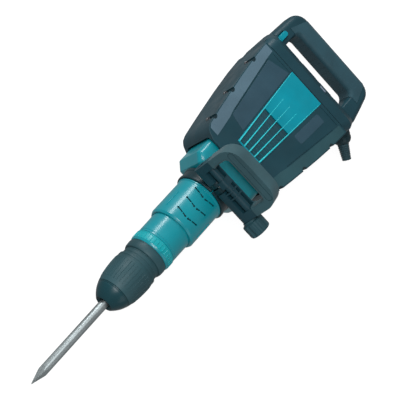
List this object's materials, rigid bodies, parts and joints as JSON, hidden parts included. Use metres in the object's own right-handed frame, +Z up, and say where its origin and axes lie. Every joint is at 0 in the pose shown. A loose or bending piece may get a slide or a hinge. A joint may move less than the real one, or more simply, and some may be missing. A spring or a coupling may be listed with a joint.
{
  "type": "demolition hammer",
  "caption": "Heavy two-handed electric demolition hammer with a pointed chisel, swinging side handle, vibration-damped rear D-handle and crank-driven striking mechanism inside.",
  "frame": {"origin": "on the flat underside of the lower cover, straight below the tool axis", "axes": "+X along the tool axis towards the chisel, +Y across the rear handle towards the cord exit, +Z up through the side handle"},
  "size_m": [0.934, 0.3071, 0.2205],
  "materials": {
    "chisel_steel": "forged and ground tool steel",
    "machine_steel": "ground steel with an oil film",
    "dark_steel": "black oxide steel",
    "teal_casting": "gloss teal paint on a light alloy casting",
    "black_casting": "satin black paint on a light alloy casting",
    "bare_aluminium": "die cast, bare",
    "copper": "segmented copper",
    "dark_plastic": "fine grained dark slate plastic",
    "black_plastic": "satin black plastic",
    "teal_plastic": "moulded teal plastic",
    "soft_grip": "soft grey rubber overmould",
    "lens": "clear grey lens"
  },
  "bodies": {
    "housing": {"lower_cover": "dark_plastic", "upper_cover": "dark_plastic", "lower_grille": "teal_plastic", "upper_grille": "teal_plastic", "handle_upper": "dark_plastic", "handle_lower": "dark_plastic", "switch_body": "black_plastic", "speed_controller": "black_plastic", "indicator_window": "lens", "cord_gland": "black_plastic", "cord_boot": "black_plastic", "handle_bracket": "dark_steel", "damper_spring_left": "dark_steel", "damper_spring_right": "dark_steel"},
    "machine": {"crank_case": "teal_casting", "motor_case": "black_casting", "stator": "dark_steel", "brush_holder_top": "copper", "brush_holder_bottom": "copper", "motor_bearing_front": "machine_steel", "motor_bearing_rear": "machine_steel", "bearing_plate_inner": "bare_aluminium", "bearing_plate_outer": "bare_aluminium", "crank_bearing_inner": "machine_steel", "crank_bearing_outer": "machine_steel", "cylinder": "machine_steel", "barrel_sleeve": "teal_casting", "front_barrel": "teal_casting", "absorber_spring_front": "dark_steel", "absorber_spring_rear": "dark_steel"},
    "holder": {"tool_holder": "dark_steel", "nose_cap": "black_plastic", "neck_sleeve": "black_plastic", "release_spring": "dark_steel"},
    "release_cover": {"release_cover": "dark_plastic"},
    "roller_top": {"lock_roller_top": "machine_steel"},
    "roller_bottom": {"lock_roller_bottom": "machine_steel"},
    "change_ring": {"change_ring": "teal_casting"},
    "chisel": {"chisel_bit": "chisel_steel"},
    "impact_bolt": {"impact_bolt": "machine_steel"},
    "striker": {"striker": "machine_steel"},
    "piston": {"piston": "bare_aluminium", "wrist_pin": "machine_steel"},
    "connecting_rod": {"connecting_rod": "dark_steel", "crank_pin": "machine_steel"},
    "crankshaft": {"crankshaft": "dark_steel", "crank_gear": "machine_steel"},
    "countershaft": {"countershaft": "dark_steel", "countershaft_gear": "machine_steel"},
    "armature": {"motor_shaft": "machine_steel", "armature_core": "dark_steel", "commutator": "copper", "cooling_fan": "bare_aluminium"},
    "counterweight": {"counterweight": "machine_steel"},
    "clamp": {"clamp_band": "black_plastic", "handle_bolt": "machine_steel"},
    "side_handle": {"side_handle": "soft_grip"},
    "clamp_nut": {"clamp_nut": "black_plastic"},
    "switch_lever": {"switch_lever": "teal_plastic"},
    "speed_dial": {"speed_dial": "black_plastic"}
  },
  "joints": [
    {"name": "housing_float", "type": "slide", "parent": "housing", "child": "machine", "axis": [1, 0, 0], "range_m": [-0.003, 0.003], "stiffness_N_per_m": 20000, "deforming": ["damper_spring_left", "damper_spring_right"]},
    {"name": "tool_turn", "type": "hinge", "parent": "machine", "child": "holder", "pos_m": [0.4, 0, 0.06], "axis": [1, 0, 0], "continuous": true},
    {"name": "release_slide", "type": "slide", "parent": "holder", "child": "release_cover", "axis": [-1, 0, 0], "range_m": [0, 0.008], "stiffness_N_per_m": 1500, "springref_m": -0.004, "deforming": ["release_spring"]},
    {"name": "roller_top_slide", "type": "slide", "parent": "holder", "child": "roller_top", "axis": [0, 0, 1], "range_m": [0, 0.002]},
    {"name": "roller_bottom_slide", "type": "slide", "parent": "holder", "child": "roller_bottom", "axis": [0, 0, -1], "range_m": [0, 0.002]},
    {"name": "ring_slide", "type": "slide", "parent": "holder", "child": "change_ring", "axis": [1, 0, 0], "range_m": [0, 0.0045]},
    {"name": "chisel_slide", "type": "slide", "parent": "holder", "child": "chisel", "axis": [1, 0, 0], "range_m": [0, 0.012]},
    {"name": "impact_bolt_slide", "type": "slide", "parent": "machine", "child": "impact_bolt", "axis": [1, 0, 0], "range_m": [0, 0.012]},
    {"name": "striker_slide", "type": "slide", "parent": "machine", "child": "striker", "axis": [-1, 0, 0], "range_m": [0, 0.025]},
    {"name": "piston_slide", "type": "slide", "parent": "machine", "child": "piston", "axis": [-1, 0, 0], "range_m": [0, 0.028]},
    {"name": "rod_swing", "type": "hinge", "parent": "piston", "child": "connecting_rod", "pos_m": [0.169, 0, 0.06], "axis": [0, 1, 0], "range_deg": [-11.5, 11.5]},
    {"name": "armature_turn", "type": "hinge", "parent": "machine", "child": "armature", "pos_m": [-0.00725, 0, 0.06], "axis": [0, 1, 0], "continuous": true},
    {"name": "countershaft_turn", "type": "hinge", "parent": "machine", "child": "countershaft", "pos_m": [0.03213, 0, 0.06], "axis": [0, 1, 0], "continuous": true},
    {"name": "crank_turn", "type": "hinge", "parent": "machine", "child": "crankshaft", "pos_m": [0.085, 0, 0.06], "axis": [0, 1, 0], "continuous": true},
    {"name": "counterweight_slide", "type": "slide", "parent": "machine", "child": "counterweight", "axis": [1, 0, 0], "range_m": [-0.008, 0.008], "stiffness_N_per_m": 30000, "deforming": ["absorber_spring_front", "absorber_spring_rear"]},
    {"name": "side_handle_swing", "type": "hinge", "parent": "machine", "child": "clamp", "pos_m": [0.188, 0, 0.06], "axis": [1, 0, 0], "continuous": true},
    {"name": "side_handle_tilt", "type": "hinge", "parent": "clamp", "child": "side_handle", "pos_m": [0.188, 0, 0.129], "axis": [0, 1, 0], "range_deg": [0, 90]},
    {"name": "clamp_nut_turn", "type": "hinge", "parent": "clamp", "child": "clamp_nut", "pos_m": [0.188, 0.1, 0.129], "axis": [0, 1, 0], "continuous": true},
    {"name": "switch_slide", "type": "slide", "parent": "housing", "child": "switch_lever", "axis": [0, 0, -1], "range_m": [0, 0.006]},
    {"name": "dial_turn", "type": "hinge", "parent": "housing", "child": "speed_dial", "pos_m": [-0.16, -0.02, 0.06], "axis": [-1, 0, 0], "range_deg": [0, 270]}
  ],
  "couplings": [
    {"joint": "roller_top_slide", "follows": "release_slide", "ratio": 0.25},
    {"joint": "roller_bottom_slide", "follows": "release_slide", "ratio": 0.25},
    {"joint": "impact_bolt_slide", "follows": "chisel_slide", "ratio": 1},
    {"joint": "countershaft_turn", "follows": "armature_turn", "ratio": -0.25},
    {"joint": "crank_turn", "follows": "armature_turn", "ratio": 0.10606}
  ]
}
